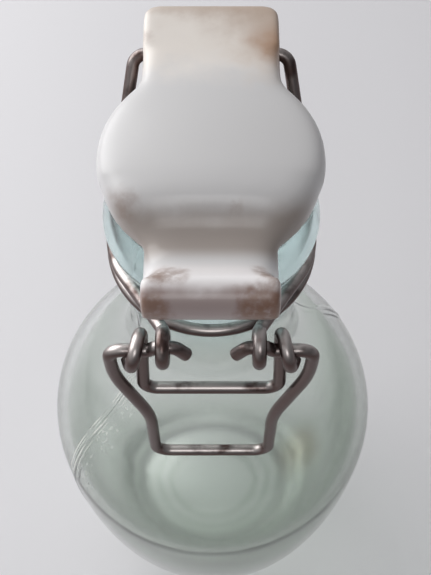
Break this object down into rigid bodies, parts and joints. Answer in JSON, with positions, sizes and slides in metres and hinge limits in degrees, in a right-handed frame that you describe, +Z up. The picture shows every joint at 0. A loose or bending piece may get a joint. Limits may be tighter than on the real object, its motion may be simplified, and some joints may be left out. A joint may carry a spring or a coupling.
{
  "type": "swing top bottle",
  "caption": "Wide-mouth glass bottle with a hinged porcelain lid, rubber seal and bent-wire lever closure that clamps the lid onto the rim.",
  "frame": {"origin": "middle of the flat ring that the bottle stands on", "axes": "+Z up along the bottle's axis, +X to the right seen from the lever side, +Y from the lever towards the lid's hinge"},
  "size_m": [0.096, 0.096, 0.218],
  "materials": {
    "glass": "clear, faintly green",
    "porcelain": "glossy white glaze with brown stains",
    "rubber": "aged, matte",
    "wire": "tarnished brown-grey"
  },
  "bodies": {
    "vessel": {"bottle": "glass", "tie_ring": "wire", "hinge_wire": "wire"},
    "lid": {"lid": "porcelain", "seal_ring": "rubber"},
    "lever": {"lever": "wire"},
    "latch": {"latch_bail": "wire"}
  },
  "joints": [
    {"name": "lid_hinge", "type": "hinge", "parent": "vessel", "child": "lid", "pos_m": [0, 0.031, 0.21], "axis": [-1, 0, 0], "range_deg": [0, 240]},
    {"name": "lever_pivot", "type": "hinge", "parent": "vessel", "child": "lever", "pos_m": [0, -0.0335, 0.197], "axis": [-1, 0, 0], "range_deg": [-6, 90]},
    {"name": "latch_pivot", "type": "hinge", "parent": "lever", "child": "latch", "pos_m": [0, -0.0335, 0.1956], "axis": [-1, 0, 0], "range_deg": [-6, 70]}
  ]
}
